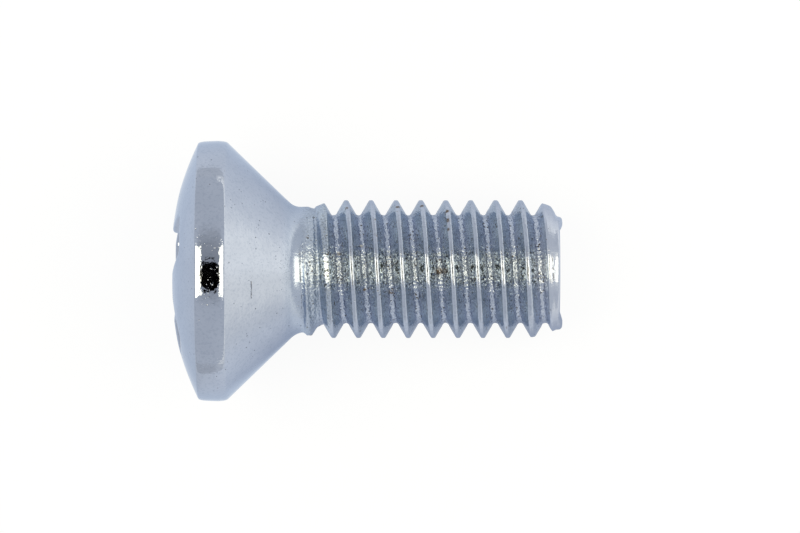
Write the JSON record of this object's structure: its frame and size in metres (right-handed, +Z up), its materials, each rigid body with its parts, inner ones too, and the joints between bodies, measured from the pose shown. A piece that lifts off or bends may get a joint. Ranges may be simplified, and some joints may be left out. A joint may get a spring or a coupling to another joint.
{
  "type": "machine screw",
  "caption": "Raised countersunk machine screw with a cross recess in its domed head, a short plain neck and a right-hand thread to the end.",
  "frame": {"origin": "on the floor, under the middle of the screw's length as it lies", "axes": "+Z up, +X from the head towards the threaded end; the screw's own axis lies in the XZ plane and dips 11.4 degrees towards the end"},
  "size_m": [0.0112, 0.0074, 0.0073],
  "materials": {
    "zinc_plate": "bright bluish zinc plate on steel, smooth on the head and rougher in the thread"
  },
  "bodies": {
    "root": {"screw": "zinc_plate"}
  },
  "joints": []
}
